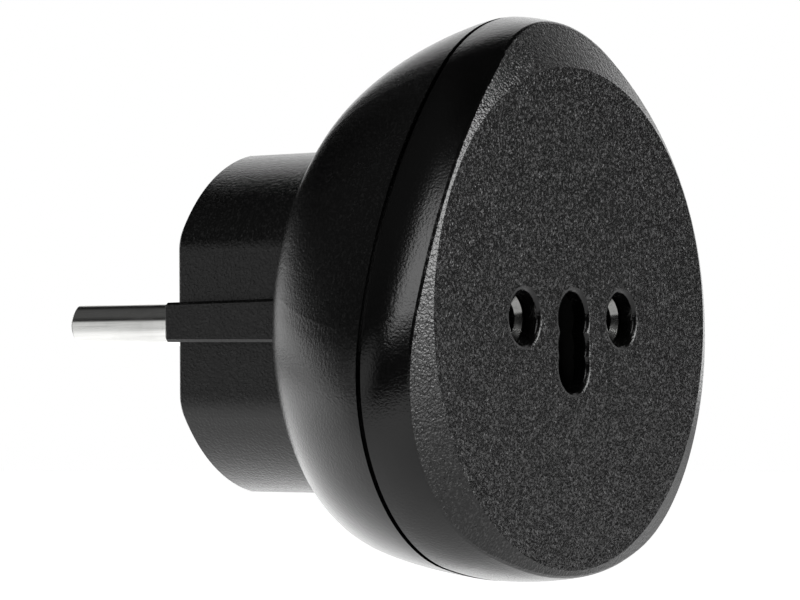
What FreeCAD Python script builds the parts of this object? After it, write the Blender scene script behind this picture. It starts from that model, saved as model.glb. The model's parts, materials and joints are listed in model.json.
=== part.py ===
import FreeCAD, Part
import math
import os
import Sketcher

# Travel adapter: a rounded three-cornered socket body on a round two-pin plug.
# Frame: origin at the centre of the plug's end face, +Y along the pins into the wall,
# +Z up. Stations are measured from the end face towards the socket face, so a station
# of 10 lies at Y = -10. Every sketch plane is square to Y and faces the socket side.

doc = FreeCAD.newDocument("travel_adapter")

# Driving sizes, in millimetres
drivingSizes = {
    # plug, to the standard for round two-pin earthed plugs
    "pin_diameter": 4.8,
    "pin_length": 18.0,
    "pin_spacing": 19.0,
    "pin_tip_chamfer": 0.5,
    "plug_depth": 17.36,
    "plug_radius": 18.55,
    "plug_draft": 0.25,
    "plug_rim_chamfer": 0.4,
    "flat_distance": 16.25,
    "rib_reach": 18.8,
    "rib_height": 4.2,
    "rib_edge_chamfer": 0.3,
    "flat_edge_round": 4.5,
    "plug_wall": 2.2,
    "plug_end_wall": 4.0,
    # body behind the socket face
    "body_depth": 22.44,
    "seam_depth": 6.57,
    "seam_gap": 0.6,
    "shell_wall": 2.2,
    "front_wall": 1.8,
    # outline of the body at the seam
    "seam_top_centre": 10.82,
    "seam_top_radius": 21.27,
    "seam_corner_side": 10.22,
    "seam_corner_drop": 6.15,
    "seam_corner_radius": 20.35,
    "seam_side_radius": 56.61,
    "seam_base_radius": 64.91,
    # outline of the body at the level of the socket face, before the chamfer
    "face_top_centre": 13.42,
    "face_top_radius": 17.06,
    "face_corner_side": 5.62,
    "face_corner_drop": 3.32,
    "face_corner_radius": 22.65,
    "face_side_radius": 38.97,
    "face_base_radius": 36.17,
    "wall_bulge": 0.3,
    # flat disc of the socket face and the chamfer round it
    "face_disc_radius": 26.5,
    "chamfer_slope": 0.482,
    "face_edge_round": 0.5,
    # dome between the seam and the plug
    "dome_rear_radius": 22.49,
    "dome_shoulder": 1.26,
    "dome_fullness": 1.82,
    # socket apertures
    "aperture_radius": 2.85,
    "earth_offset_low": 3.0,
    "earth_offset_lowest": 5.0,
    "aperture_lead_width": 0.22,
    "aperture_lead_depth": 0.1,
    # joint between the two shells
    "lip_inset": 1.3,
    "lip_height": 1.7,
    "lip_clearance": 0.1,
    "post_radius": 1.5,
    "post_inset": 1.6,
    "post_angle": 35.0,
    # plug insert
    "opening_clearance": 0.1,
    "flange_overhang": 2.45,
    "flange_thickness": 2.0,
    "pin_boss_radius": 4.6,
    "pin_boss_setback": 6.56,
    "pin_shank_radius": 2.6,
    "pin_collar_radius": 3.4,
    "pin_collar_thickness": 1.2,
    "pin_tail_radius": 1.3,
    "pin_head_radius": 1.95,
    "pin_head_height": 1.0,
    # side earth contacts, one bent strip
    "recess_width": 6.6,
    "recess_depth": 2.95,
    "recess_length": 14.5,
    "bow_width": 5.4,
    "bow_thickness": 0.8,
    "bow_inset": 0.95,
    "bow_crown": 0.35,
    "bow_crown_start": 3.2,
    "bow_crown_end": 12.4,
    "bow_tip_drop": 0.6,
    "bow_tip_station": 1.2,
    "bow_web_setback": 2.76,
    "bow_bend_radius": 1.4,
    "bow_clearance": 0.1,
    "ledge_width": 7.2,
    "ledge_clearance": 0.1,
    # female contact for an earth pin in the wall socket
    "earth_pin_offset": 10.0,
    "earth_hole_radius": 2.75,
    "earth_sleeve_radius": 2.45,
    "earth_sleeve_wall": 0.55,
    "earth_sleeve_mouth": 3.6,
    "earth_sleeve_slit": 0.6,
    "earth_sleeve_slit_length": 8.0,
    "earth_flange_radius": 3.6,
    "earth_flange_thickness": 0.8,
    "earth_ear_width": 4.4,
    "earth_ear_inner_end": 2.8,
    "earth_boss_radius": 4.4,
    "earth_boss_setback": 9.56,
    "sleeve_clearance": 0.05,
    # socket contacts for the line and neutral pins
    "contact_bore_radius": 2.05,
    "contact_sheet": 0.5,
    "contact_mouth_gap": 0.2,
    "contact_flare": 0.6,
    "contact_flare_length": 0.6,
    "contact_slit": 0.5,
    "contact_slit_length": 11.0,
    "contact_seam": 0.4,
    "contact_length": 17.1,
    "contact_base_radius": 4.4,
    "contact_base_thickness": 0.8,
    "neck_half_width": 1.5,
    "spring_sheet": 0.5,
    "spring_length": 4.0,
    "spring_setback": 3.1,
    "spring_gap": 1.6,
    # earth contact of the socket
    "leaf_gap": 4.2,
    "leaf_sheet": 0.6,
    "leaf_top": 2.7,
    "leaf_bottom": 7.7,
    "leaf_mouth_gap": 2.0,
    "leaf_slit": 0.4,
    "leaf_slit_length": 10.0,
    "leaf_round": 1.2,
    "earth_base_thickness": 0.8,
    "earth_tab_bottom": 12.0,
    "leaf_spring_sheet": 0.5,
    "leaf_spring_length": 4.0,
    "leaf_spring_setback": 2.4,
    # rivets of the earth path
    "rivet_radius": 1.0,
    "sleeve_rivet_offset": 5.0,
    "tab_rivet_offset": 10.0,
    "rivet_head_radius": 1.8,
    "rivet_head_height": 0.6,
    # contact carrier and its screws
    "carrier_plate_clearance": 0.5,
    "carrier_plate_thickness": 2.0,
    "carrier_block_radius": 5.0,
    "carrier_tube_radius": 4.4,
    "carrier_front_gap": 0.1,
    "line_chamber_radius": 3.4,
    "earth_chamber_clearance": 0.3,
    "earth_chamber_wall": 2.0,
    "foot_width": 5.2,
    "foot_inset": 0.2,
    "foot_clearance": 0.35,
    "screw_inset": 3.54,
    "screw_angle": 41.76,
    "screw_radius": 1.2,
    "screw_length": 11.4,
    "screw_head_radius": 2.4,
    "screw_head_height": 1.6,
    "screw_slot_width": 0.7,
    "screw_slot_depth": 0.7,
    "screw_pilot_clearance": 0.05,
    "screw_hole_clearance": 0.3,
    "screw_boss_radius": 2.7,
}

sheet = doc.addObject("Spreadsheet::Sheet", "sizes")
for row, (alias, number) in enumerate(drivingSizes.items(), start=1):
    sheet.set("A%d" % row, alias.replace("_", " "))
    sheet.set("B%d" % row, str(number))
    sheet.setAlias("B%d" % row, alias)
doc.recompute()


class Size:
    """A number together with the expression that gives it from the sheet."""

    def __init__(self, number, text):
        self.number = number
        self.text = text

    def join(self, other, sign, result, swapped=False):
        other = asSize(other)
        left, right = (other, self) if swapped else (self, other)
        return Size(result(left.number, right.number), "(%s %s %s)" % (left.text, sign, right.text))

    def __add__(self, other):
        return self.join(other, "+", lambda a, b: a + b)

    def __radd__(self, other):
        return self.join(other, "+", lambda a, b: a + b, swapped=True)

    def __sub__(self, other):
        return self.join(other, "-", lambda a, b: a - b)

    def __rsub__(self, other):
        return self.join(other, "-", lambda a, b: a - b, swapped=True)

    def __mul__(self, other):
        return self.join(other, "*", lambda a, b: a * b)

    def __rmul__(self, other):
        return self.join(other, "*", lambda a, b: a * b, swapped=True)

    def __truediv__(self, other):
        return self.join(other, "/", lambda a, b: a / b)

    def __rtruediv__(self, other):
        return self.join(other, "/", lambda a, b: a / b, swapped=True)

    def __pow__(self, other):
        return self.join(other, "^", lambda a, b: a ** b)

    def __neg__(self):
        return 0 - self


def asSize(value):
    return value if isinstance(value, Size) else Size(float(value), "%.6g" % value)


def size(alias):
    return Size(float(sheet.get(alias)), "sizes." + alias)


def smaller(first, second):
    return Size(min(first.number, second.number), "min(%s; %s)" % (first.text, second.text))


# Stations that several pieces share
rearStation = size("plug_depth")
faceStation = size("plug_depth") + size("body_depth")
seamStation = faceStation - size("seam_depth")
housingEdge = seamStation - size("seam_gap") / 2
coverEdge = seamStation + size("seam_gap") / 2
domeDepth = seamStation - rearStation
rearFloor = rearStation + size("shell_wall")
coverFloor = faceStation - size("front_wall")
plugFront = rearFloor + size("flange_thickness")
pinBossTop = plugFront - size("pin_boss_setback")
earthBossTop = plugFront - size("earth_boss_setback")
bowWeb = plugFront - size("bow_web_setback")
collarTop = pinBossTop + size("pin_collar_thickness")
contactBaseTop = collarTop + size("contact_base_thickness")
webTop = bowWeb + size("bow_thickness")
earthBaseTop = webTop + size("earth_base_thickness")
plateTop = plugFront + size("carrier_plate_thickness")
carrierFront = coverFloor - size("carrier_front_gap")
contactMouth = coverFloor - size("contact_mouth_gap")
leafMouth = coverFloor - size("leaf_mouth_gap")
leafOuter = size("leaf_gap") / 2 + size("leaf_sheet")
contactOuter = size("contact_bore_radius") + size("contact_sheet")
pinSide = size("pin_spacing") / 2
pinRadius = size("pin_diameter") / 2

# Distances from the axis that follow the plug's radius
plugInside = size("plug_radius") - size("plug_wall")
flangeRadius = size("plug_radius") + size("flange_overhang")
postCircle = flangeRadius - size("post_inset")
plateRadius = postCircle - size("post_radius") - size("carrier_plate_clearance")
recessFloor = size("plug_radius") - size("recess_depth")
bowReach = size("plug_radius") - size("bow_inset")
ledgeStart = size("earth_pin_offset") + size("earth_flange_radius") + size("ledge_clearance")
footStart = ledgeStart + size("foot_inset")
footEnd = plugInside - size("foot_clearance")
screwTurn = math.radians(size("screw_angle").number)
screwSide = (size("plug_radius") - size("screw_inset")) * math.cos(screwTurn)
screwHeight = (size("plug_radius") - size("screw_inset")) * math.sin(screwTurn)

subtractive = ("PartDesign::Pocket", "PartDesign::Groove", "PartDesign::SubtractiveLoft")
bodies = []


# Bodies and sketches

def newBody(name):
    body = doc.addObject("PartDesign::Body", name)
    body.Label = name
    bodies.append(body)
    return body


def originPlane(body, role):
    return next(feature for feature in body.Origin.OriginFeatures if feature.Role == role)


def sketchAt(body, name, station):
    """A sketch square to Y; its x is X and its y is Z."""
    sketch = body.newObject("Sketcher::SketchObject", body.Name + "_" + name)
    sketch.AttachmentSupport = [(originPlane(body, "XZ_Plane"), "")]
    sketch.MapMode = "FlatFace"
    station = asSize(station)
    sketch.AttachmentOffset = FreeCAD.Placement(
        FreeCAD.Vector(0, 0, station.number), FreeCAD.Rotation())
    sketch.setExpression("AttachmentOffset.Base.z", station.text)
    return sketch


def sketchBeside(body, name, role):
    """A sketch on a plane that holds the Y axis: XY for turned pieces, YZ for bent strips."""
    sketch = body.newObject("Sketcher::SketchObject", body.Name + "_" + name)
    sketch.AttachmentSupport = [(originPlane(body, role), "")]
    sketch.MapMode = "FlatFace"
    return sketch


def bind(sketch, constraint, value):
    index = sketch.addConstraint(constraint)
    sketch.setExpression("Constraints[%d]" % index, value.text)


def fixCoordinate(sketch, kind, axis, geometry, end, value):
    """Holds one coordinate of a point: on the axis when zero, else at a driven distance."""
    value = asSize(value)
    if abs(value.number) < 1e-9:
        sketch.addConstraint(Sketcher.Constraint("PointOnObject", geometry, end, axis))
    elif value.number > 0:
        bind(sketch, Sketcher.Constraint(kind, -1, 1, geometry, end, value.number), value)
    else:
        bind(sketch, Sketcher.Constraint(kind, geometry, end, -1, 1, -value.number), -value)


def fixPoint(sketch, geometry, end, across, up):
    fixCoordinate(sketch, "DistanceX", -2, geometry, end, across)
    fixCoordinate(sketch, "DistanceY", -1, geometry, end, up)


def vector(across, up):
    return FreeCAD.Vector(asSize(across).number, asSize(up).number, 0)


def drawCircle(sketch, across, up, radius):
    radius = asSize(radius)
    circle = Part.Circle(vector(across, up), FreeCAD.Vector(0, 0, 1), radius.number)
    index = sketch.addGeometry(circle, False)
    fixPoint(sketch, index, 3, across, up)
    bind(sketch, Sketcher.Constraint("Radius", index, radius.number), radius)


def drawPolygon(sketch, points):
    """A closed outline of straight lines; every corner is held by its two coordinates."""
    first = sketch.GeometryCount
    count = len(points)
    for index, start in enumerate(points):
        end = points[(index + 1) % count]
        sketch.addGeometry(Part.LineSegment(vector(*start), vector(*end)), False)
    for index in range(count):
        following = first + (index + 1) % count
        sketch.addConstraint(Sketcher.Constraint("Coincident", first + index, 2, following, 1))
        fixPoint(sketch, first + index, 1, *points[index])


def drawRectangle(sketch, left, right, bottom, top):
    drawPolygon(sketch, [(left, bottom), (right, bottom), (right, top), (left, top)])


def drawArc(sketch, centre, radius, startAngle, endAngle):
    arc = Part.ArcOfCircle(
        Part.Circle(vector(*centre), FreeCAD.Vector(0, 0, 1), asSize(radius).number),
        startAngle, endAngle)
    return sketch.addGeometry(arc, False)


def drawFlattenedCircle(sketch, radius, flat):
    """A circle about the origin with its left and right sides cut off flat."""
    radius, flat = asSize(radius), asSize(flat)
    rise = math.sqrt(radius.number ** 2 - flat.number ** 2)
    angle = math.atan2(rise, flat.number)
    top = drawArc(sketch, (0, 0), radius, angle, math.pi - angle)
    bottom = drawArc(sketch, (0, 0), radius, math.pi + angle, 2 * math.pi - angle)
    left = sketch.addGeometry(Part.LineSegment(vector(-flat, rise), vector(-flat, -rise)), False)
    right = sketch.addGeometry(Part.LineSegment(vector(flat, -rise), vector(flat, rise)), False)
    for arc in (top, bottom):
        sketch.addConstraint(Sketcher.Constraint("Coincident", arc, 3, -1, 1))
        bind(sketch, Sketcher.Constraint("Radius", arc, radius.number), radius)
    for one, oneEnd, other, otherEnd in (
            (top, 2, left, 1), (left, 2, bottom, 1), (bottom, 2, right, 1), (right, 2, top, 1)):
        sketch.addConstraint(Sketcher.Constraint("Coincident", one, oneEnd, other, otherEnd))
    for line in (left, right):
        sketch.addConstraint(Sketcher.Constraint("Vertical", line))
    fixCoordinate(sketch, "DistanceX", -2, left, 1, -flat)
    fixCoordinate(sketch, "DistanceX", -2, right, 1, flat)


def drawPlugOutline(sketch, grow):
    """The plug's outline: a flattened circle with a guide rib down the middle of each flat."""
    radius = size("plug_radius") + grow
    flat = size("flat_distance") + grow
    rib = size("rib_reach") + grow
    half = size("rib_height") / 2 + grow
    rise = math.sqrt(radius.number ** 2 - flat.number ** 2)
    angle = math.atan2(rise, flat.number)
    arcs = {}
    for side, start in ((1, angle), (-1, math.pi + angle)):
        arcs[side] = drawArc(sketch, (0, 0), radius, start, start + math.pi - 2 * angle)
        sketch.addConstraint(Sketcher.Constraint("Coincident", arcs[side], 3, -1, 1))
        bind(sketch, Sketcher.Constraint("Radius", arcs[side], radius.number), radius)
    for side in (1, -1):
        corners = [(-side * flat, side * rise), (-side * flat, side * half),
                   (-side * rib, side * half), (-side * rib, -side * half),
                   (-side * flat, -side * half), (-side * flat, -side * rise)]
        lines = [sketch.addGeometry(Part.LineSegment(vector(*a), vector(*b)), False)
                 for a, b in zip(corners, corners[1:])]
        for line, following in zip(lines, lines[1:]):
            sketch.addConstraint(Sketcher.Constraint("Coincident", line, 2, following, 1))
        for line, corner in zip(lines[1:], corners[1:]):
            fixPoint(sketch, line, 1, *corner)
        for line in (lines[0], lines[-1]):
            sketch.addConstraint(Sketcher.Constraint("Vertical", line))
        sketch.addConstraint(Sketcher.Constraint("Coincident", arcs[side], 2, lines[0], 1))
        sketch.addConstraint(Sketcher.Constraint("Coincident", lines[-1], 2, arcs[-side], 1))


def outlineSizes(stem):
    """The seven sizes of a three-cornered outline, by the start of their names."""
    ends = ("top_centre", "top_radius", "corner_side", "corner_drop", "corner_radius",
            "side_radius", "base_radius")
    return {end: size(stem + "_" + end) for end in ends}


def insetOutline(outline, inset):
    """The same outline moved inwards all round: its arcs keep their centres."""
    return {name: value - inset if name.endswith("radius") else value
            for name, value in outline.items()}


def domeStation(turn):
    """Where a ring of the dome lies; turn goes from 0 at the seam to 1 at the plug."""
    return seamStation - domeDepth * asSize(turn) ** (1 / size("dome_shoulder"))


def domeOutline(turn):
    """The outline of that ring: each arc goes from the seam towards one circle."""
    share = (1 - asSize(turn)) ** (1 / size("dome_fullness"))
    rear = size("dome_rear_radius")
    return {name: rear + (value - rear) * share if name.endswith("radius") else value * share
            for name, value in outlineSizes("seam").items()}


def turnAt(station):
    """The turn whose ring lies at a station."""
    return ((seamStation - station) / domeDepth) ** size("dome_shoulder")


def drawThreeCornered(sketch, outline):
    """Six tangent arcs: the top corner, two sides, two bottom corners and the base."""
    topCentre, topRadius = outline["top_centre"], outline["top_radius"]
    cornerSide, cornerDrop = outline["corner_side"], outline["corner_drop"]
    cornerRadius = outline["corner_radius"]
    sideRadius, baseRadius = outline["side_radius"], outline["base_radius"]
    # the right side arc touches the top and the corner arc from inside
    top = vector(0, topCentre)
    corner = vector(cornerSide, -cornerDrop)
    toTop = sideRadius.number - topRadius.number
    toCorner = sideRadius.number - cornerRadius.number
    along = corner - top
    length = along.Length
    run = (toTop ** 2 - toCorner ** 2 + length ** 2) / (2 * length)
    offset = math.sqrt(toTop ** 2 - run ** 2)
    along.normalize()
    sideCentre = top + along * run + FreeCAD.Vector(along.y, -along.x, 0) * offset
    # the base arc touches both corner arcs from inside
    rise = math.sqrt((baseRadius.number - cornerRadius.number) ** 2 - corner.x ** 2)
    baseCentre = FreeCAD.Vector(0, corner.y + rise, 0)

    def heading(start, end):
        return math.atan2(end.y - start.y, end.x - start.x)

    topAngle = heading(sideCentre, top)
    cornerAngle = heading(sideCentre, corner)
    baseAngle = heading(baseCentre, corner)
    pi = math.pi
    flipped = FreeCAD.Vector(-sideCentre.x, sideCentre.y, 0)
    left = FreeCAD.Vector(-corner.x, corner.y, 0)
    arcs = [
        (top, topRadius, topAngle, pi - topAngle),
        (flipped, sideRadius, pi - topAngle, pi - cornerAngle),
        (left, cornerRadius, pi - cornerAngle, pi - baseAngle),
        (baseCentre, baseRadius, pi - baseAngle, 2 * pi + baseAngle),
        (corner, cornerRadius, baseAngle, cornerAngle),
        (sideCentre, sideRadius, cornerAngle, topAngle),
    ]
    indexes = [drawArc(sketch, (centre.x, centre.y), radius, start, end)
               for centre, radius, start, end in arcs]
    for index, following in zip(indexes, indexes[1:] + indexes[:1]):
        sketch.addConstraint(Sketcher.Constraint("Tangent", index, 2, following, 1))
    for index, (_, radius, _, _) in zip(indexes, arcs):
        bind(sketch, Sketcher.Constraint("Radius", index, radius.number), radius)
    fixPoint(sketch, indexes[0], 3, 0, topCentre)
    fixPoint(sketch, indexes[2], 3, -cornerSide, -cornerDrop)
    fixPoint(sketch, indexes[4], 3, cornerSide, -cornerDrop)


# Features

def addPad(body, sketch, length, towardsPlug=False, midplane=False):
    pad = body.newObject("PartDesign::Pad", sketch.Name + "_pad")
    pad.Profile = sketch
    pad.Length = length.number
    pad.setExpression("Length", length.text)
    pad.Reversed = towardsPlug
    pad.Midplane = midplane
    return pad


def addPocket(body, sketch, length, towardsFace=False, midplane=False):
    pocket = body.newObject("PartDesign::Pocket", sketch.Name + "_pocket")
    pocket.Profile = sketch
    pocket.Length = length.number
    pocket.setExpression("Length", length.text)
    pocket.Reversed = towardsFace
    pocket.Midplane = midplane
    return pocket


def addLoft(body, sketches, cutting=False, ruled=False):
    kind = "PartDesign::SubtractiveLoft" if cutting else "PartDesign::AdditiveLoft"
    loft = body.newObject(kind, sketches[0].Name + "_loft")
    loft.Profile = sketches[0]
    loft.Sections = sketches[1:]
    loft.Ruled = ruled
    return loft


def addTurned(body, sketch, cutting=False):
    """A solid or a cut turned about the sketch's upright axis, which lies along Y."""
    kind = "PartDesign::Groove" if cutting else "PartDesign::Revolution"
    turned = body.newObject(kind, sketch.Name + "_turned")
    turned.Profile = sketch
    turned.ReferenceAxis = (sketch, ["V_Axis"])
    turned.Angle = 360
    return turned


def edgesOf(feature, wanted):
    """Names of the edges that a test picks."""
    return ["Edge%d" % (index + 1) for index, edge in enumerate(feature.Shape.Edges)
            if wanted(edge)]


def addRound(body, wanted, radius, kind="PartDesign::Fillet"):
    """Rounds, or chamfers, the picked edges of the body as it stands."""
    doc.recompute()
    base = body.Tip
    names = edgesOf(base, wanted)
    if not names:
        raise RuntimeError(body.Label + ": no edge to round")
    feature = body.newObject(kind, "%s_edge_%d" % (body.Name, len(body.Group)))
    feature.Base = (base, names)
    if kind == "PartDesign::Fillet":
        feature.Radius = radius.number
        feature.setExpression("Radius", radius.text)
    else:
        feature.Size = radius.number
        feature.setExpression("Size", radius.text)
    return feature


def atStation(edge, station, tolerance=0.01):
    box = edge.BoundBox
    return abs(box.YMin + station) < tolerance and abs(box.YMax + station) < tolerance


def farthestFromAxis(edge):
    return max(math.hypot(point.x, point.z) for point in edge.discretize(7))


def nearestToAxis(edge):
    return min(math.hypot(point.x, point.z) for point in edge.discretize(7))


def moveAcross(body, distance):
    body.Placement.Base.x = distance.number
    body.setExpression("Placement.Base.x", distance.text)


# Rear housing: the dome between the seam and the plug

def domeSketches(body, name, rings, inset):
    sketches = []
    for number, (turn, station) in enumerate(rings):
        sketch = sketchAt(body, "%s_%d" % (name, number), station)
        drawThreeCornered(sketch, insetOutline(domeOutline(turn), inset))
        sketches.append(sketch)
    return sketches


def rearHousing():
    body = newBody("rear_housing")
    edge = turnAt(housingEdge)
    outer = []
    for degrees in range(10, 100, 10):
        turn = min(math.sin(math.radians(degrees)) ** 2, 0.9997)
        outer.append((asSize(turn), rearStation if degrees == 90 else domeStation(turn)))
    outerSketches = domeSketches(body, "outer", [(edge, housingEdge)] + outer, asSize(0))
    addLoft(body, outerSketches)
    inner = [(asSize(turn), domeStation(turn)) for turn in (0.07, 0.25, 0.5, 0.7)]
    inner = [(edge, housingEdge)] + inner + [(turnAt(rearFloor), rearFloor)]
    addLoft(body, domeSketches(body, "inner", inner, size("shell_wall")), cutting=True, ruled=True)
    rebate = sketchAt(body, "rebate", housingEdge)
    drawThreeCornered(rebate, insetOutline(domeOutline(edge),
                                           size("lip_inset") - size("lip_clearance")))
    addPocket(body, rebate, size("lip_height"))
    opening = sketchAt(body, "opening", rearFloor)
    drawPlugOutline(opening, size("plug_draft") + size("opening_clearance"))
    addPocket(body, opening, size("shell_wall") + 1)
    return body


# Front cover: the socket face, its chamfer and the wall down to the seam

def waistOutline():
    """Halfway between the seam and the face, with the wall's slight bulge."""
    seam, face = outlineSizes("seam"), outlineSizes("face")
    middle = {name: (seam[name] + face[name]) / 2 for name in seam}
    return insetOutline(middle, -size("wall_bulge"))


def frontCover():
    body = newBody("front_cover")
    seam = sketchAt(body, "seam", coverEdge)
    drawThreeCornered(seam, outlineSizes("seam"))
    waist = sketchAt(body, "waist", (coverEdge + faceStation) / 2)
    drawThreeCornered(waist, waistOutline())
    front = sketchAt(body, "front", faceStation)
    drawThreeCornered(front, outlineSizes("face"))
    addLoft(body, [seam, waist, front])
    disc, slope = size("face_disc_radius"), size("chamfer_slope")
    reach = size("face_disc_radius") / 2
    chamfer = sketchBeside(body, "chamfer", "XY_Plane")
    drawPolygon(chamfer, [(disc, -faceStation), (disc + reach, -(faceStation - slope * reach)),
                          (disc + reach, -(faceStation + 1)), (disc, -(faceStation + 1))])
    addTurned(body, chamfer, cutting=True)
    addRound(body, lambda edge: -edge.BoundBox.YMax > coverEdge.number + 1.5 and
             nearestToAxis(edge) > disc.number + 0.1, size("face_edge_round"))
    cornerFloor = coverFloor - size("front_wall")
    hollow = sketchAt(body, "hollow", coverEdge)
    drawThreeCornered(hollow, insetOutline(outlineSizes("face"), size("shell_wall")))
    addPocket(body, hollow, cornerFloor - coverEdge, towardsFace=True)
    middle = sketchAt(body, "middle", cornerFloor)
    drawCircle(middle, 0, 0, disc - size("shell_wall"))
    addPocket(body, middle, coverFloor - cornerFloor, towardsFace=True)
    lip = sketchAt(body, "lip", coverEdge)
    drawThreeCornered(lip, insetOutline(outlineSizes("seam"), size("lip_inset")))
    drawThreeCornered(lip, insetOutline(outlineSizes("seam"), size("shell_wall")))
    addPad(body, lip, size("lip_height") + size("seam_gap") - size("lip_clearance"),
           towardsPlug=True)
    posts = sketchAt(body, "posts", plugFront)
    angle = math.radians(size("post_angle").number)
    for turn in (angle, math.pi - angle, math.pi + angle, -angle):
        drawCircle(posts, postCircle * math.cos(turn), postCircle * math.sin(turn),
                   size("post_radius"))
    addPad(body, posts, coverFloor - plugFront)
    holes = [(-pinSide, 0), (pinSide, 0), (0, 0),
             (0, -size("earth_offset_low")), (0, -size("earth_offset_lowest"))]
    for number, (across, up) in enumerate(holes):
        hole = sketchAt(body, "hole_%d" % number, faceStation)
        drawCircle(hole, across, up, size("aperture_radius"))
        addPocket(body, hole, size("front_wall") + 1)
        lead = sketchAt(body, "lead_%d" % number, faceStation)
        drawCircle(lead, across, up, size("aperture_radius") + size("aperture_lead_width"))
        cut = addPocket(body, lead, size("aperture_lead_depth"))
        cut.setExpression("TaperAngle", "-atan(sizes.aperture_lead_width / sizes.aperture_lead_depth)")
    return body


# Plug insert: the round plug with flats, guide ribs, recesses and bosses

def plugBody():
    body = newBody("plug_body")
    radius, flat, draft = size("plug_radius"), size("flat_distance"), size("plug_draft")
    barrel = sketchBeside(body, "barrel", "XY_Plane")
    drawPolygon(barrel, [(0, 0), (radius, 0), (radius + draft, -rearFloor), (0, -rearFloor)])
    addTurned(body, barrel)
    for label, side in (("left", -1), ("right", 1)):
        outside = side * (radius + 1)
        cut = sketchBeside(body, "flat_" + label, "XY_Plane")
        drawPolygon(cut, [(side * flat, 0), (outside, 0), (outside, -rearFloor),
                          (side * (flat + draft), -rearFloor)])
        addPocket(body, cut, radius * 2 + 2, midplane=True)
    addRound(body, lambda edge: edge.BoundBox.YLength > 10 and
             abs(edge.BoundBox.ZMax) > 1, size("flat_edge_round"))
    for label, side in (("left", -1), ("right", 1)):
        ribSketches = []
        for place, station, grow in (("end", asSize(0), asSize(0)), ("seat", rearFloor, draft)):
            half = size("rib_height") / 2 + grow
            foot, top = side * (flat - 1), side * (size("rib_reach") + grow)
            corner = size("rib_edge_chamfer")
            shoulder = top - side * corner
            rib = sketchAt(body, "rib_%s_%s" % (label, place), station)
            drawPolygon(rib, [(foot, -half), (shoulder, -half), (top, -half + corner),
                              (top, half - corner), (shoulder, half), (foot, half)])
            ribSketches.append(rib)
        addLoft(body, ribSketches, ruled=True)
    ribSide = size("rib_reach") - size("rib_edge_chamfer") - flat
    addRound(body, lambda edge: atStation(edge, 0) and
             nearestToAxis(edge) > flat.number - 0.1, smaller(size("plug_rim_chamfer"), ribSide / 2),
             "PartDesign::Chamfer")
    flange = sketchAt(body, "flange", rearFloor)
    drawCircle(flange, 0, 0, flangeRadius)
    addPad(body, flange, size("flange_thickness"))
    hollow = sketchAt(body, "hollow", plugFront)
    drawFlattenedCircle(hollow, plugInside, size("flat_distance") - size("plug_wall"))
    addPocket(body, hollow, plugFront - size("plug_end_wall"))
    floor = size("plug_end_wall")
    pinBosses = sketchAt(body, "pin_bosses", floor)
    for side in (-1, 1):
        drawCircle(pinBosses, side * pinSide, 0, size("pin_boss_radius"))
    addPad(body, pinBosses, pinBossTop - floor)
    earthBoss = sketchAt(body, "earth_boss", floor)
    drawCircle(earthBoss, 0, size("earth_pin_offset"), size("earth_boss_radius"))
    addPad(body, earthBoss, earthBossTop - floor)
    ledges = sketchAt(body, "ledges", floor)
    half = size("ledge_width") / 2
    outerEdge = size("plug_radius") - size("plug_wall") / 2
    for side in (-1, 1):
        drawRectangle(ledges, -half, half, side * ledgeStart, side * outerEdge)
    addPad(body, ledges, bowWeb - floor)
    screwBosses = sketchAt(body, "screw_bosses", floor)
    for side in (-1, 1):
        drawCircle(screwBosses, side * screwSide, -side * screwHeight, size("screw_boss_radius"))
    addPad(body, screwBosses, plugFront - floor)
    pinHoles = sketchAt(body, "pin_holes", pinBossTop)
    for side in (-1, 1):
        drawCircle(pinHoles, side * pinSide, 0, size("pin_shank_radius"))
    addPocket(body, pinHoles, pinBossTop + 1)
    earthHole = sketchAt(body, "earth_hole", earthBossTop)
    drawCircle(earthHole, 0, size("earth_pin_offset"), size("earth_hole_radius"))
    addPocket(body, earthHole, earthBossTop + 1)
    sleeveSeat = sketchAt(body, "sleeve_seat", earthBossTop)
    drawCircle(sleeveSeat, 0, size("earth_pin_offset"),
               size("earth_sleeve_radius") + size("earth_sleeve_wall") + size("sleeve_clearance"))
    addPocket(body, sleeveSeat, earthBossTop - size("earth_sleeve_mouth"))
    screwHoles = sketchAt(body, "screw_holes", plugFront)
    for side in (-1, 1):
        drawCircle(screwHoles, side * screwSide, -side * screwHeight,
                   size("screw_radius") + size("screw_pilot_clearance"))
    addPocket(body, screwHoles, size("screw_length"))
    recess = sketchAt(body, "recess", size("recess_length"))
    half = size("recess_width") / 2
    outside = size("plug_radius") + 1
    for side in (-1, 1):
        drawRectangle(recess, -half, half, side * recessFloor, side * outside)
    addPocket(body, recess, size("recess_length") + 1)
    half = size("bow_width") / 2 + size("bow_clearance")
    legOuter = bowReach + size("bow_clearance")
    legInner = bowReach - size("bow_thickness") - size("bow_clearance")
    legs = sketchAt(body, "legs", plugFront)
    for side in (-1, 1):
        drawRectangle(legs, -half, half, side * legInner, side * legOuter)
    addPocket(body, legs, plugFront - size("recess_length") + 1)
    web = sketchAt(body, "web", plugFront)
    for side in (-1, 1):
        drawRectangle(web, -half, half, side * ledgeStart, side * legOuter)
    addPocket(body, web, plugFront - bowWeb)
    bendRoom = size("bow_bend_radius") - size("bow_thickness") + size("bow_clearance")
    bends = sketchAt(body, "bends", bowWeb)
    for side in (-1, 1):
        drawRectangle(bends, -half, half, side * (legInner - bendRoom), side * legOuter)
    addPocket(body, bends, bendRoom)
    return body


# Plug pins: solid, with a collar behind the boss and a tail closed over the contact

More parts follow.
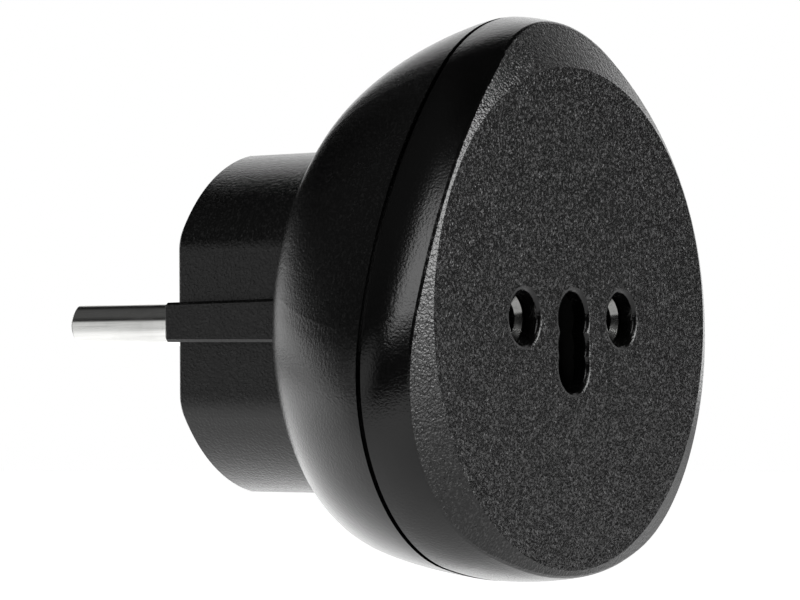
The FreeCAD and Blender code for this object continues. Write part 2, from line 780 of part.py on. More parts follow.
def plugPin(name, side):
    body = newBody(name)
    sketch = sketchBeside(body, "profile", "XY_Plane")
    steps = [(pinRadius, size("pin_length"), asSize(0)),
             (size("pin_shank_radius"), asSize(0), -pinBossTop),
             (size("pin_collar_radius"), -pinBossTop, -collarTop),
             (size("pin_tail_radius"), -collarTop, -contactBaseTop),
             (size("pin_head_radius"), -contactBaseTop, -contactBaseTop - size("pin_head_height"))]
    points = [(0, size("pin_length"))]
    for radius, start, end in steps:
        points += [(radius, start), (radius, end)]
    points.append((0, steps[-1][2]))
    drawPolygon(sketch, points)
    addTurned(body, sketch)
    addRound(body, lambda edge: atStation(edge, -size("pin_length").number) and
             farthestFromAxis(edge) > pinRadius.number - 0.1, size("pin_tip_chamfer"),
             "PartDesign::Chamfer")
    headEnd = (contactBaseTop + size("pin_head_height")).number
    addRound(body, lambda edge: atStation(edge, headEnd) and farthestFromAxis(edge) > 0.1,
             size("pin_head_height") * 0.4, "PartDesign::Chamfer")
    moveAcross(body, side * pinSide)
    return body


# Socket contacts: a base closed onto the pin, a neck and a rolled sleeve with a flared mouth

def lineContact(name, side):
    body = newBody(name)
    base = sketchAt(body, "base", collarTop)
    drawCircle(base, 0, 0, size("contact_base_radius"))
    drawCircle(base, 0, 0, size("pin_tail_radius"))
    addPad(body, base, size("contact_base_thickness"))
    bore = size("contact_bore_radius")
    sleeveStart = contactMouth - size("contact_length")
    flareStart = contactMouth - size("contact_flare_length")
    flare = size("contact_flare")
    neckHalf = size("neck_half_width")
    neck = sketchAt(body, "neck", contactBaseTop)
    # the neck is flat sheet, just outside the bore, from the base into the sleeve's crown
    drawRectangle(neck, -neckHalf, neckHalf, bore, contactOuter - 0.1)
    addPad(body, neck, sleeveStart - contactBaseTop + 0.3)
    sleeve = sketchBeside(body, "sleeve", "XY_Plane")
    drawPolygon(sleeve, [(bore, -sleeveStart), (bore, -flareStart), (bore + flare, -contactMouth),
                         (contactOuter + flare, -contactMouth), (contactOuter, -flareStart),
                         (contactOuter, -sleeveStart)])
    addTurned(body, sleeve)
    seam = sketchAt(body, "seam", contactMouth)
    drawRectangle(seam, -size("contact_seam") / 2, size("contact_seam") / 2,
                  -contactOuter - 1, asSize(-1))
    addPocket(body, seam, size("contact_length") + 1)
    slit = sketchAt(body, "slit", contactMouth)
    drawRectangle(slit, -size("contact_slit") / 2, size("contact_slit") / 2,
                  asSize(1), contactOuter + 1)
    addPocket(body, slit, size("contact_slit_length"))
    moveAcross(body, side * pinSide)
    return body


# Steel rings round the contact sleeves, open at the bottom

def contactSpring(name, side):
    body = newBody(name)
    start = contactMouth - size("spring_setback") - size("spring_length")
    ring = sketchAt(body, "ring", start)
    outer = contactOuter + size("spring_sheet")
    drawCircle(ring, 0, 0, outer)
    drawCircle(ring, 0, 0, contactOuter)
    addPad(body, ring, size("spring_length"))
    gap = sketchAt(body, "gap", start)
    half = size("spring_gap") / 2
    drawRectangle(gap, -half, half, -outer - 1, asSize(-1))
    addPocket(body, gap, size("spring_length") + 1, towardsFace=True)
    moveAcross(body, side * pinSide)
    return body


# Earth contact: two leaves, slit into three pairs of fingers, on a base with a tab

def earthContact():
    body = newBody("earth_contact")
    top, bottom = size("leaf_top"), -size("leaf_bottom")
    base = sketchAt(body, "base", webTop)
    drawRectangle(base, -leafOuter, leafOuter, -size("earth_tab_bottom"), top)
    addPad(body, base, size("earth_base_thickness"))
    leaves = sketchAt(body, "leaves", earthBaseTop)
    for side in (-1, 1):
        drawRectangle(leaves, side * size("leaf_gap") / 2, side * leafOuter, bottom, top)
    addPad(body, leaves, leafMouth - earthBaseTop)
    slits = sketchAt(body, "slits", leafMouth)
    for middle in (size("earth_offset_low") / 2,
                   (size("earth_offset_low") + size("earth_offset_lowest")) / 2):
        drawRectangle(slits, -leafOuter - 1, leafOuter + 1,
                      -middle - size("leaf_slit") / 2, -middle + size("leaf_slit") / 2)
    addPocket(body, slits, size("leaf_slit_length"))
    rivetHole = sketchAt(body, "rivet_hole", earthBaseTop)
    drawCircle(rivetHole, 0, -size("tab_rivet_offset"), size("rivet_radius"))
    addPocket(body, rivetHole, size("earth_base_thickness") + 1)
    corners = (top.number, bottom.number)
    addRound(body, lambda edge: atStation(edge, leafMouth.number) and any(
        abs(edge.BoundBox.ZMin - corner) < 0.01 and abs(edge.BoundBox.ZMax - corner) < 0.01
        for corner in corners), size("leaf_round"))
    return body


# Steel clip round the leaves, open at the top

def earthSpring():
    body = newBody("earth_spring")
    start = leafMouth - size("leaf_spring_setback") - size("leaf_spring_length")
    sheet = size("leaf_spring_sheet")
    top, bottom = size("leaf_top"), -size("leaf_bottom")
    clip = sketchAt(body, "clip", start)
    drawPolygon(clip, [(-leafOuter - sheet, top), (-leafOuter - sheet, bottom - sheet),
                       (leafOuter + sheet, bottom - sheet), (leafOuter + sheet, top),
                       (leafOuter, top), (leafOuter, bottom),
                       (-leafOuter, bottom), (-leafOuter, top)])
    addPad(body, clip, size("leaf_spring_length"))
    return body


# Earth bow: one bent strip, the web across the plug and a leg in each recess

def earthBow():
    body = newBody("earth_bow")
    sketch = sketchBeside(body, "profile", "YZ_Plane")
    reach, sheet = bowReach, size("bow_thickness")
    web, tip = bowWeb, size("bow_tip_station")
    crown, drop = size("bow_crown"), size("bow_tip_drop")
    start, end = size("bow_crown_start"), size("bow_crown_end")
    # one leg's line from the web to the tip: level, out to the crown, level, in to the tip
    leg = [(end + crown * 2, reach), (end, reach + crown), (start, reach + crown),
           (tip, reach - drop)]
    outer = [(-station, height) for station, height in leg]
    inner = [(-station, height - sheet) for station, height in leg]
    upper = [(-webTop, reach)] + outer + inner[::-1] + [(-web, reach - sheet)]
    lower = [(along, -asSize(height)) for along, height in reversed(upper)]
    drawPolygon(sketch, upper + lower)
    addPad(body, sketch, size("bow_width"), midplane=True)
    outside = size("bow_bend_radius")
    addRound(body, lambda edge: edge.BoundBox.XLength > 1 and atStation(edge, webTop.number)
             and farthestFromAxis(edge) > reach.number - 0.1, outside)
    addRound(body, lambda edge: edge.BoundBox.XLength > 1 and atStation(edge, web.number)
             and nearestToAxis(edge) > reach.number / 2, outside - sheet)
    tipNumber = tip.number
    addRound(body, lambda edge: edge.BoundBox.XLength < 1 and atStation(edge, tipNumber),
             sheet)
    rivets = sketchAt(body, "rivets", webTop)
    for height in (size("sleeve_rivet_offset"), -size("tab_rivet_offset")):
        drawCircle(rivets, 0, height, size("rivet_radius"))
    addPocket(body, rivets, sheet + 1)
    return body


# Female contact for the wall socket's earth pin: a slit sleeve with a riveted ear at its foot

def earthPinSleeve():
    body = newBody("earth_pin_sleeve")
    offset = size("earth_pin_offset")
    inner = size("earth_sleeve_radius")
    outer = inner + size("earth_sleeve_wall")
    mouth = size("earth_sleeve_mouth")
    flangeStart = bowWeb - size("earth_flange_thickness")
    tube = sketchAt(body, "tube", mouth)
    drawCircle(tube, 0, offset, outer)
    drawCircle(tube, 0, offset, inner)
    addPad(body, tube, bowWeb - mouth)
    flange = sketchAt(body, "flange", flangeStart)
    drawCircle(flange, 0, offset, size("earth_flange_radius"))
    drawCircle(flange, 0, offset, inner)
    addPad(body, flange, size("earth_flange_thickness"))
    ear = sketchAt(body, "ear", flangeStart)
    half = size("earth_ear_width") / 2
    drawRectangle(ear, -half, half, size("earth_ear_inner_end"), offset - inner - 0.1)
    addPad(body, ear, size("earth_flange_thickness"))
    rivetHole = sketchAt(body, "rivet_hole", bowWeb)
    drawCircle(rivetHole, 0, size("sleeve_rivet_offset"), size("rivet_radius"))
    addPocket(body, rivetHole, size("earth_flange_thickness") + 1)
    slit = sketchAt(body, "slit", mouth)
    half = size("earth_sleeve_slit") / 2
    drawRectangle(slit, -half, half, offset - outer - 1, offset + outer + 1)
    addPocket(body, slit, size("earth_sleeve_slit_length"), towardsFace=True)
    return body


# Rivets of the earth path: sleeve to bow above, contact to bow below

def earthRivets():
    group = []
    head = size("rivet_head_height")
    wide, narrow = size("rivet_head_radius"), size("rivet_radius")
    flangeStart = bowWeb - size("earth_flange_thickness")
    stacks = [("upper", size("sleeve_rivet_offset"), flangeStart, webTop),
              ("lower", -size("tab_rivet_offset"), bowWeb, earthBaseTop)]
    for label, height, start, end in stacks:
        body = doc.addObject("PartDesign::Body", "earth_rivet_" + label)
        sketch = sketchBeside(body, "profile", "XY_Plane")
        drawPolygon(sketch, [(0, -(start - head)), (wide, -(start - head)), (wide, -start),
                             (narrow, -start), (narrow, -end), (wide, -end),
                             (wide, -(end + head)), (0, -(end + head))])
        addTurned(body, sketch)
        body.Placement.Base.z = height.number
        body.setExpression("Placement.Base.z", height.text)
        group.append(body)
    return grouped("earth_rivets", group)


def grouped(name, members):
    """Identical fasteners kept as one sub-part of separate solids."""
    group = doc.addObject("Part::Compound", name)
    group.Label = name
    group.Links = members
    bodies.append(group)
    return group


# Contact carrier: plate, chambers for the contacts, tubes and feet that hold them down

def contactCarrier():
    body = newBody("contact_carrier")
    plate = sketchAt(body, "plate", plugFront)
    drawCircle(plate, 0, 0, plateRadius)
    addPad(body, plate, size("carrier_plate_thickness"))
    radius = size("carrier_block_radius")
    ends = sketchAt(body, "ends", plateTop)
    for side in (-1, 1):
        drawCircle(ends, side * pinSide, 0, radius)
    addPad(body, ends, carrierFront - plateTop)
    bridge = sketchAt(body, "bridge", plateTop)
    drawRectangle(bridge, -pinSide, pinSide, -radius, radius)
    addPad(body, bridge, carrierFront - plateTop)
    room = leafOuter + size("leaf_spring_sheet") + size("earth_chamber_clearance")
    roomTop = size("leaf_top") + size("earth_chamber_clearance")
    roomBottom = (size("leaf_bottom") + size("leaf_spring_sheet")
                  + size("earth_chamber_clearance"))
    wall = size("earth_chamber_wall")
    lower = sketchAt(body, "lower", plateTop)
    drawRectangle(lower, -room - wall, room + wall, -roomBottom - wall, asSize(0))
    addPad(body, lower, carrierFront - plateTop)
    tubes = sketchAt(body, "tubes", contactBaseTop)
    for side in (-1, 1):
        drawCircle(tubes, side * pinSide, 0, size("carrier_tube_radius"))
    addPad(body, tubes, plugFront - contactBaseTop)
    feet = sketchAt(body, "feet", webTop)
    half = size("foot_width") / 2
    for side in (-1, 1):
        drawRectangle(feet, -half, half, side * footStart, side * footEnd)
    addPad(body, feet, plugFront - webTop)
    chambers = sketchAt(body, "chambers", carrierFront)
    for side in (-1, 1):
        drawCircle(chambers, side * pinSide, 0, size("line_chamber_radius"))
    addPocket(body, chambers, carrierFront - contactBaseTop)
    earthRoom = sketchAt(body, "earth_room", carrierFront)
    drawRectangle(earthRoom, -room, room, -roomBottom, roomTop)
    addPocket(body, earthRoom, carrierFront - plugFront)
    screwHoles = sketchAt(body, "screw_holes", plateTop)
    for side in (-1, 1):
        drawCircle(screwHoles, side * screwSide, -side * screwHeight,
                   size("screw_radius") + size("screw_hole_clearance"))
    addPocket(body, screwHoles, size("carrier_plate_thickness"))
    return body


# Screws that hold the carrier on the plug insert

def carrierScrews():
    members = []
    for label, side in (("upper", -1), ("lower", 1)):
        body = doc.addObject("PartDesign::Body", "carrier_screw_" + label)
        sketch = sketchBeside(body, "profile", "XY_Plane")
        shank, wide = size("screw_radius"), size("screw_head_radius")
        start = plateTop - size("screw_length")
        end = plateTop + size("screw_head_height")
        drawPolygon(sketch, [(0, -start), (shank, -start), (shank, -plateTop),
                             (wide, -plateTop), (wide, -end), (0, -end)])
        addTurned(body, sketch)
        slot = sketchAt(body, "slot", end)
        half = size("screw_slot_width") / 2
        drawRectangle(slot, -half, half, -wide - 1, wide + 1)
        addPocket(body, slot, size("screw_slot_depth"))
        across, up = side * screwSide, -side * screwHeight
        body.Placement.Base = FreeCAD.Vector(across.number, 0, up.number)
        body.setExpression("Placement.Base.x", across.text)
        body.setExpression("Placement.Base.z", up.text)
        members.append(body)
    return grouped("carrier_screws", members)


def build():
    frontCover()
    rearHousing()
    plugBody()
    for name, side in (("left", -1), ("right", 1)):
        plugPin("plug_pin_" + name, side)
        lineContact("line_contact_" + name, side)
        contactSpring("contact_spring_" + name, side)
    earthContact()
    earthSpring()
    earthBow()
    earthPinSleeve()
    earthRivets()
    contactCarrier()
    carrierScrews()
    doc.recompute()


def check():
    """Stops on a failed feature, a cut that removes nothing, or an invalid solid."""
    for item in doc.Objects:
        if {"Invalid", "Error"} & set(item.State):
            raise RuntimeError(item.Label + " failed: " + ", ".join(item.State))
        if item.TypeId in subtractive:
            before = item.BaseFeature.Shape.Volume
            if before - item.Shape.Volume < 1e-3:
                raise RuntimeError(item.Label + " removes nothing")
    for body in bodies:
        shape = body.Shape
        if shape.isNull() or not shape.isValid() or not shape.Solids:
            raise RuntimeError(body.Label + " is not a valid solid")


def export():
    os.makedirs("parts", exist_ok=True)
    for body in bodies:
        body.Shape.exportStep("parts/" + body.Label + ".step")
        print("%-22s solids %d volume %.1f" % (
            body.Label, len(body.Shape.Solids), body.Shape.Volume))


build()
check()
export()
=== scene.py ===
import json
import math

import bpy
from mathutils import Matrix, Vector

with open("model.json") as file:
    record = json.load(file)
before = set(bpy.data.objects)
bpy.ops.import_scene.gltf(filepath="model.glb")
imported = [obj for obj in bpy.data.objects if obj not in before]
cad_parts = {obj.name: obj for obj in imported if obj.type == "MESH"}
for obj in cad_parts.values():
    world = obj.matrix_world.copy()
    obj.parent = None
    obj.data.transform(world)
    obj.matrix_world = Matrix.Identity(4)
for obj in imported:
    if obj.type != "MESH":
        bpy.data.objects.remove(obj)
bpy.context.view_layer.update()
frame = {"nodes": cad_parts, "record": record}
nodes = frame["nodes"]
print("frame loaded:", len(nodes), "pieces")


class Wire:  # one output socket of a node tree, usable in sums
    def __init__(self, finish, socket):
        self.finish = finish
        self.socket = socket

    def maths(self, operation, first, second):
        return self.finish.node("ShaderNodeMath", {"operation": operation},
                                {0: first, 1: second})

    def __add__(self, other):
        return self.maths("ADD", self, other)

    def __radd__(self, other):
        return self.maths("ADD", other, self)

    def __sub__(self, other):
        return self.maths("SUBTRACT", self, other)

    def __rsub__(self, other):
        return self.maths("SUBTRACT", other, self)

    def __mul__(self, other):
        return self.maths("MULTIPLY", self, other)

    def __rmul__(self, other):
        return self.maths("MULTIPLY", other, self)

    def atLeast(self, other):
        return self.maths("MAXIMUM", self, other)

    def atMost(self, other):
        return self.maths("MINIMUM", self, other)

    def above(self, low, high):  # 0 below low, 1 above high, smooth between
        return self.finish.node("ShaderNodeMapRange", {"interpolation_type": "SMOOTHSTEP"},
                                {"Value": self, "From Min": low, "From Max": high})


class Finish:  # one node tree and the ways to fill it
    def __init__(self, name, tree=None):
        self.material = None
        if tree is None:
            self.material = bpy.data.materials.new(name)
            self.material.use_nodes = True
            tree = self.material.node_tree
        self.tree = tree
        self.tree.nodes.clear()

    def node(self, kind, settings=None, inputs=None, output=0):
        made = self.tree.nodes.new(kind)
        for name, value in (settings or {}).items():
            setattr(made, name, value)
        for name, value in (inputs or {}).items():
            if isinstance(value, Wire):
                self.tree.links.new(value.socket, made.inputs[name])
            else:
                made.inputs[name].default_value = value
        return Wire(self, made.outputs[output]) if made.outputs else None

    def place(self, stretch=(1, 1, 1)):  # a point of the piece, in metres, stretched
        point = self.node("ShaderNodeTexCoord", output="Object")
        if stretch == (1, 1, 1):
            return point
        return self.node("ShaderNodeVectorMath", {"operation": "MULTIPLY"},
                         {0: point, 1: stretch})

    def station(self):  # the place along the plug pins
        return self.node("ShaderNodeSeparateXYZ", {}, {0: self.place()}, "Y")

    def distance(self, first, second):
        return self.node("ShaderNodeVectorMath", {"operation": "DISTANCE"},
                         {0: first, 1: second}, "Value")

    def alignment(self, first, second):  # 1 for the same direction, 0 for square ones
        return self.node("ShaderNodeVectorMath", {"operation": "DOT_PRODUCT"},
                         {0: first, 1: second}, "Value")

    def noise(self, perMetre, detail=2.0, roughness=0.5, stretch=(1, 1, 1)):
        return self.node("ShaderNodeTexNoise", {},
                         {"Vector": self.place(stretch), "Scale": perMetre,
                          "Detail": detail, "Roughness": roughness})

    def cells(self, perMetre):
        return self.node("ShaderNodeTexVoronoi", {"feature": "F1"},
                         {"Vector": self.place(), "Scale": perMetre})

    def mix(self, share, first, second):  # of two colours, by the node's colour sockets
        return self.node("ShaderNodeMix", {"data_type": "RGBA"},
                         {0: share, 6: first, 7: second}, 2)

    def relief(self, height, depth=1.0, strength=1.0, under=None):
        inputs = {"Height": height, "Distance": depth, "Strength": strength}
        if under is not None:
            inputs["Normal"] = under
        return self.node("ShaderNodeBump", {}, inputs)

    def close(self, inputs):
        surface = self.node("ShaderNodeBsdfPrincipled", {}, inputs)
        self.node("ShaderNodeOutputMaterial", {}, {"Surface": surface})
        return self.material


def grey(value):
    return (value, value, value, 1)


def shaded(colour, share=1.0):
    return (*(channel * share for channel in colour), 1)


# The cover's plastic. A row of three values is for its wall, its chamfer and its flat face.
facePlastic = {
    "colour": 0.0010,
    "erodedColour": 0.0008,  # of the chamfer and the face
    # painted glints: bright specks in the base colour that stand in for the sparkle of the
    # eroded surface
    "paintedGlintColour": 0.044,
    "paintedGlints": (0, 0.4, 1.0),
    "roughness": (0.17, 0.12, 0.2),
    "roughnessSpread": 0.05,
    "erodedDepth": (0, 0.00005, 0.00009),
    "chamferTurned": (0.66, 0.86),  # how far forward a surface is turned, from and to
    "faceTurned": (0.95, 0.985),
    "cloudsPerMetre": 150,
    "grainPerMetre": 3800,
    "specksPerMetre": 3800,
    "pitsPerMetre": 2660,
    "pitShare": 0.5,
    "paintedGlintsPerMetre": 3300,
    "paintedGlintsBetween": (0.53, 0.66),
    "grainDepth": 0.00005,
    "wallEdge": -0.0378,
    "wallCrown": 0.016,  # radius of the slight crown beside the edge
    "faceStation": -0.0398,
    "openings": ((-0.0095, 0), (0.0095, 0), (0, 0), (0, -0.003), (0, -0.005)),
    "openingRadius": 0.00285,
    "rimRound": 0.0005,
    "erodedFrom": (0.0002, 0.0006),  # away from an opening's wall
}

satinGrain = {  # the same on all the plastics
    "cloudsPerMetre": 160,
    "handledPerMetre": 55,
    "cloudRoughness": 0.06,
    "handledRoughness": 0.05,
    "grainRoughness": 0.04,
    "grainBetween": (0.5, 0.7),
    "cloudShare": 0.5,
    "strength": 0.6,
    "refraction": 1.49,
}


def makeFacePlastic():
    look = facePlastic
    finish = Finish("faceBlackPlastic")
    normal = finish.node("ShaderNodeTexCoord", output="Normal")
    forward = finish.alignment(normal, (0, -1, 0))
    eroded = forward.above(*look["chamferTurned"])
    flat = forward.above(*look["faceTurned"])

    def byZone(wall, chamfer, face):  # takes one row of the dictionary
        return eroded * (chamfer - wall) + flat * (face - chamfer) + wall

    def rounding(depth, radius, under=None):  # falls away as a round of that radius does
        return finish.relief(depth * depth * (-0.5 / radius), under=under)

    station = finish.station()
    crown = rounding((station - look["wallEdge"]).atLeast(0), look["wallCrown"])

    nearest = 1.0
    flatPlace = finish.place((1, 0, 1))
    for across, up in look["openings"]:
        nearest = finish.distance(flatPlace, (across, 0, up)).atMost(nearest)
    fromRim = nearest - look["openingRadius"] + (station - look["faceStation"])
    bent = (look["rimRound"] - fromRim).atLeast(0)
    rounded = rounding(bent, look["rimRound"], crown)
    clear = fromRim.above(*look["erodedFrom"])

    speck = finish.noise(look["specksPerMetre"], detail=1)
    pits = finish.cells(look["pitsPerMetre"])
    height = (speck + pits * look["pitShare"]) * byZone(*look["erodedDepth"]) * clear
    rough = finish.relief(height, under=rounded)
    cloud = finish.noise(look["cloudsPerMetre"], detail=3)
    grain = finish.noise(look["grainPerMetre"])
    fine = finish.relief(grain + cloud * satinGrain["cloudShare"], look["grainDepth"],
                         satinGrain["strength"], rough)

    # painted glints in the base colour, for the sparkle of the eroded chamfer and face
    paintedGlint = finish.noise(look["paintedGlintsPerMetre"], detail=1, roughness=0.6)
    paintedGlinting = paintedGlint.above(*look["paintedGlintsBetween"]) * byZone(*look["paintedGlints"]) * clear
    plain = finish.mix(eroded, grey(look["colour"]), grey(look["erodedColour"]))
    colour = finish.mix(paintedGlinting, plain, grey(look["paintedGlintColour"]))
    roughness = byZone(*look["roughness"]) + (cloud + grain) * look["roughnessSpread"]
    return finish.close({"Base Color": colour, "Roughness": roughness, "Normal": fine,
                         "IOR": satinGrain["refraction"]})


shellPlastic = {
    "colour": 0.0012,
    "grainColour": 0.009,
    "roughness": 0.18,
    "grainPerMetre": 3400,
    "grainDepth": 0.00005,
}

plugPlastic = {
    "colour": 0.0010,
    "grainColour": 0.013,
    "roughness": 0.17,
    "grainPerMetre": 3400,
    "grainDepth": 0.0001,
}

carrierPlastic = {
    "colour": 0.010,
    "grainColour": 0.014,
    "roughness": 0.5,
    "grainPerMetre": 3000,
    "grainDepth": 0.00001,
}


def makeSatinPlastic(name, look):
    finish = Finish(name)
    grain = finish.noise(look["grainPerMetre"])
    cloud = finish.noise(satinGrain["cloudsPerMetre"], detail=3)
    handled = finish.noise(satinGrain["handledPerMetre"])
    colour = finish.mix(grain.above(*satinGrain["grainBetween"]), grey(look["colour"]),
                        grey(look["grainColour"]))
    roughness = (look["roughness"] + cloud * satinGrain["cloudRoughness"]
                 + handled * satinGrain["handledRoughness"]
                 + grain * satinGrain["grainRoughness"])
    fine = finish.relief(grain + cloud * satinGrain["cloudShare"], look["grainDepth"],
                         satinGrain["strength"])
    return finish.close({"Base Color": colour, "Roughness": roughness, "Normal": fine,
                         "IOR": satinGrain["refraction"]})


# The metals are dull and darkened with painted shade between two stations inside the body.
# Their streaks are stretched along the pins where the sheet or rod is drawn that way.
platedPin = {
    "colour": (0.92, 0.92, 0.90),
    "roughness": 0.12,
    "streaksPerMetre": 5200,
    "stretch": (1, 0.02, 1),
    "dullAndPaintedShadeBetween": (-0.040, -0.013),
}

tinnedContact = {
    "colour": (0.36, 0.36, 0.35),
    "roughness": 0.12,
    "streaksPerMetre": 3000,
    "stretch": (1, 0.02, 1),
    "dullAndPaintedShadeBetween": (-0.0365, -0.0195),
}

platedSheet = {
    "colour": (0.52, 0.51, 0.49),
    "roughness": 0.28,
    "streaksPerMetre": 3600,
    "stretch": (1, 0.02, 1),
    "dullAndPaintedShadeBetween": (-0.030, -0.0165),
}

springSteel = {
    "colour": (0.42, 0.42, 0.44),
    "roughness": 0.32,
    "streaksPerMetre": 4200,
    "stretch": (1, 1, 1),
    "dullAndPaintedShadeBetween": (-0.040, -0.016),
}

screwSteel = {
    "colour": (0.66, 0.65, 0.60),
    "roughness": 0.3,
    "streaksPerMetre": 2600,
    "stretch": (1, 1, 1),
    "dullAndPaintedShadeBetween": (-0.040, -0.016),
}

metalWearAndPaintedShade = {  # the same on all the metals
    "tarnishPerMetre": 220,
    "marksPerMetre": 1500,
    "tarnishBetween": (0.45, 0.75),
    "roughBetween": (0.5, 0.8),
    "streaksBetween": (0.5, 0.7),
    "tarnishShade": 0.82,
    # painted shade inside the body, as a share of the metal's colour
    "paintedInsideShade": 0.06,
    "insideRoughness": 0.35,
    "streakRoughness": 0.1,
    "tarnishRoughness": 0.08,
    "markShare": 0.3,
    "fadeIn": 0.002,
    "fadeOut": 0.001,
    "depth": 0.000003,
    "strength": 0.5,
}


def makeMetal(name, look):
    wearAndShade = metalWearAndPaintedShade
    finish = Finish(name)
    streaks = finish.noise(look["streaksPerMetre"], roughness=0.6, stretch=look["stretch"])
    tarnish = finish.noise(wearAndShade["tarnishPerMetre"], detail=4, roughness=0.6)
    marks = finish.noise(wearAndShade["marksPerMetre"], detail=3, roughness=0.6)
    station = finish.station()
    first, last = look["dullAndPaintedShadeBetween"]
    insideDullAndPaintedShade = (station.above(first, first + wearAndShade["fadeIn"])
              * (1 - station.above(last, last + wearAndShade["fadeOut"])))
    tarnished = shaded(look["colour"], wearAndShade["tarnishShade"])
    colour = finish.mix(tarnish.above(*wearAndShade["tarnishBetween"]), shaded(look["colour"]),
                        tarnished)
    colour = finish.mix(streaks.above(*wearAndShade["streaksBetween"]), colour, tarnished)
    # painted shade: inside the body the metal is darkened to a few per cent of its colour
    colour = finish.mix(insideDullAndPaintedShade, colour, shaded(look["colour"], wearAndShade["paintedInsideShade"]))
    roughness = (look["roughness"] + streaks * wearAndShade["streakRoughness"]
                 + tarnish.above(*wearAndShade["roughBetween"]) * wearAndShade["tarnishRoughness"]
                 + insideDullAndPaintedShade * wearAndShade["insideRoughness"])
    fine = finish.relief(streaks + marks * wearAndShade["markShare"], wearAndShade["depth"],
                         wearAndShade["strength"])
    return finish.close({"Base Color": colour, "Roughness": roughness, "Metallic": 1.0,
                         "Normal": fine})


finishes = {
    "face_plastic": makeFacePlastic(),
    "shell_plastic": makeSatinPlastic("shellBlackPlastic", shellPlastic),
    "plug_plastic": makeSatinPlastic("plugBlackPlastic", plugPlastic),
    "carrier_plastic": makeSatinPlastic("carrierGreyPlastic", carrierPlastic),
    "plated_pin": makeMetal("nickelPin", platedPin),
    "tinned_contact": makeMetal("tinnedContact", tinnedContact),
    "plated_sheet": makeMetal("nickelSheet", platedSheet),
    "spring_steel": makeMetal("springSteel", springSteel),
    "screw_steel": makeMetal("screwSteel", screwSteel),
}
for subpart in frame["record"]["subparts"]:
    piece = nodes[subpart["node"]]
    piece.data.materials.clear()
    piece.data.materials.append(finishes[subpart["material_slot"]])
print("finishes given:", len(finishes))


floorPaper = {
    "height": -0.060,
    "front": -0.20,
    "left": -0.20,
    "far": 3.0,
    "colour": 0.85,
    "fibreShade": 1.02,
    "fibresPerMetre": 900,
    "seenGlow": 0.9,
}

# Painted pools of light on the floor that only the gloss mirrors: middle across and along,
# radius inside and outside, brightness.
floorGlows = {
    "nearPool": (0.02, 0.03, 0.06, 0.14, 0.45),
    "leftPool": (-0.15, -0.03, 0.04, 0.12, 0.2),
    "pinPool": (-0.06, 0.085, 0.02, 0.07, 0.14),
    "rightPool": (0.11, 0.06, 0.05, 0.15, 0.5),
    "rearPool": (0.12, 0.42, 0.22, 0.42, 1.6),
}


def makeFloor():
    look = floorPaper
    height, far, left, front = look["height"], look["far"], look["left"], look["front"]
    corners = [(left, front, height), (far, front, height), (far, far, height),
               (left, far, height)]
    mesh = bpy.data.meshes.new("floor")
    mesh.from_pydata(corners, [], [(0, 1, 2, 3)])
    floor = bpy.data.objects.new("floor", mesh)
    bpy.context.scene.collection.objects.link(floor)
    finish = Finish("floorPaper")
    fibre = finish.noise(look["fibresPerMetre"], detail=3)
    colour = finish.mix(fibre, grey(look["colour"]),
                        grey(look["colour"] * look["fibreShade"]))
    paper = finish.node("ShaderNodeBsdfDiffuse", {}, {"Color": colour})
    seen = finish.node("ShaderNodeLightPath", output="Is Camera Ray")
    mirrored = finish.node("ShaderNodeLightPath", output="Is Glossy Ray")
    # painted pools of light, seen only in the gloss
    shine = 0.0
    for across, along, insideDullAndPaintedShade, outside, brightness in floorGlows.values():
        away = finish.distance(finish.place(), (across, along, height))
        shine = (1 - away.above(insideDullAndPaintedShade, outside)) * brightness + shine
    glow = finish.node("ShaderNodeEmission", {},
                       {"Strength": seen * look["seenGlow"] + mirrored * shine})
    both = finish.node("ShaderNodeAddShader", {}, {0: paper, 1: glow})
    finish.node("ShaderNodeOutputMaterial", {}, {"Surface": both})
    mesh.materials.append(finish.material)


def direction(turn, rise):  # degrees from +X towards +Y, and up
    turn, rise = math.radians(turn), math.radians(rise)
    return Vector((math.cos(rise) * math.cos(turn), math.cos(rise) * math.sin(turn),
                   math.sin(rise)))


# Soft pale areas round the part in a dim room, in degrees: turn and rise of the middle,
# half widths inside and outside, then brightness.
roomGlows = {
    "backdrop": (24, 8, 20, 32, 1.45),
    "upperBackdrop": (34, 36, 12, 23, 1.22),
    "topBackdrop": (-12, 28, 8, 20, 0.55),
    "sideGlow": (-35, 0, 4, 14, 0.22),
    "plugGlow": (140, -2, 9, 20, 0.62),
    "rearGlow": (90, -6, 12, 28, 2.0),
    "topGlow": (-52, 36, 2, 9, 0.8),
    "frontLow": (-86, -2, 9, 18, 3.0),
    "overhead": (122, 45, 12, 32, 0.06),
}
roomShade = 0.005  # where no glow reaches


def makeRoom():
    world = bpy.data.worlds.new("studio")
    bpy.context.scene.world = world
    world.use_nodes = True
    finish = Finish("studio", world.node_tree)
    outward = finish.node("ShaderNodeTexCoord", output="Generated")
    shade = roomShade
    for turn, rise, insideDullAndPaintedShade, outside, brightness in roomGlows.values():
        near = finish.alignment(outward, direction(turn, rise))
        edges = math.cos(math.radians(outside)), math.cos(math.radians(insideDullAndPaintedShade))
        shade = (near.above(*edges) * brightness).atLeast(shade)
    seen = (finish.node("ShaderNodeLightPath", output="Is Camera Ray")
            + finish.node("ShaderNodeLightPath", output="Is Transmission Ray"))
    back = finish.node("ShaderNodeBackground", {},
                       {"Color": grey(1), "Strength": seen + (1 - seen) * shade})
    finish.node("ShaderNodeOutputWorld", {}, {"Surface": back})


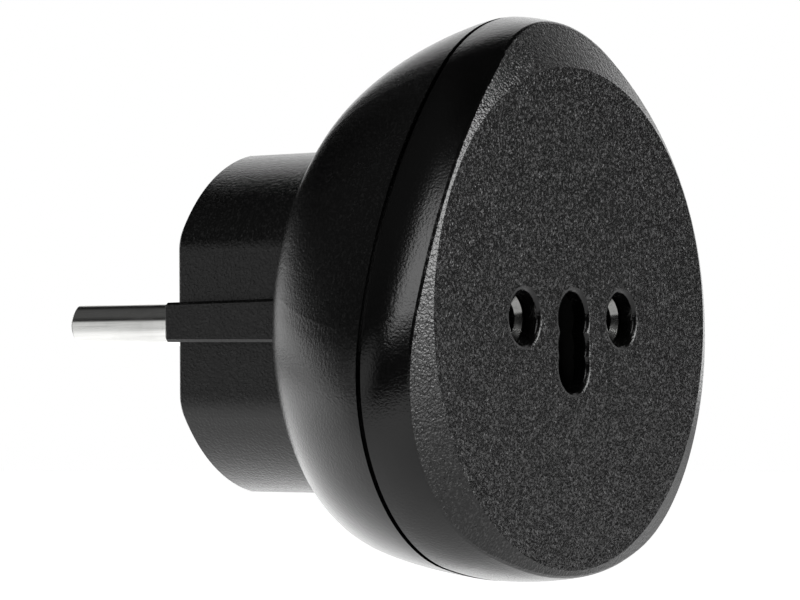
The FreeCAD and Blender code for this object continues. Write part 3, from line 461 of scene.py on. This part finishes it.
softboxes = {  # turn and rise in degrees, distance, width, height, brightness
    "leftSoftbox": (-177, 36, 0.9, 0.50, 0.62, 3.6),
    "frontSoftbox": (-81, 23, 0.85, 0.55, 0.46, 9.4),
}
bodyMiddle = Vector((0, -0.02, 0))  # what the softboxes face


def addSoftbox(name, turn, rise, distance, width, height, brightness):
    lamp = bpy.data.lights.new(name, "AREA")
    lamp.shape = "RECTANGLE"
    lamp.size = width
    lamp.size_y = height
    lamp.energy = brightness * math.pi * width * height
    holder = bpy.data.objects.new(name, lamp)
    bpy.context.scene.collection.objects.link(holder)
    outward = direction(turn, rise)
    holder.location = bodyMiddle + outward * distance
    holder.rotation_euler = (-outward).to_track_quat("-Z", "Y").to_euler()
    holder.visible_camera = False


makeFloor()
makeRoom()
for boxName, values in softboxes.items():
    addSoftbox(boxName, *values)
print("floor, room and softboxes placed:", len(softboxes))


photoCamera = {  # fitted to the photograph; angles in radians, lens in mm
    "place": (-0.47426, -0.33907, -0.00919),
    "yaw": 0.97531,
    "pitch": 0.02011,
    "roll": -0.00627,
    "lens": 239.828,
    "sensor": 36,
    "nearest": 0.01,
    "farthest": 20,
}


def addCamera():
    look = photoCamera
    yaw, pitch, roll = look["yaw"], look["pitch"], look["roll"]
    ahead = Vector((math.cos(pitch) * math.sin(yaw), math.cos(pitch) * math.cos(yaw),
                    math.sin(pitch)))
    level = Vector((math.cos(yaw), -math.sin(yaw), 0))
    upright = level.cross(ahead)
    right = level * math.cos(roll) + upright * math.sin(roll)
    up = upright * math.cos(roll) - level * math.sin(roll)
    optics = bpy.data.cameras.new("photoCamera")
    optics.sensor_width = look["sensor"]
    optics.lens = look["lens"]
    optics.clip_start = look["nearest"]
    optics.clip_end = look["farthest"]
    camera = bpy.data.objects.new("photoCamera", optics)
    bpy.context.scene.collection.objects.link(camera)
    turned = Matrix((right, up, -ahead)).transposed().to_4x4()
    camera.matrix_world = Matrix.Translation(look["place"]) @ turned
    bpy.context.scene.camera = camera


addCamera()
bpy.context.scene.view_settings.view_transform = "Standard"
print("camera set")
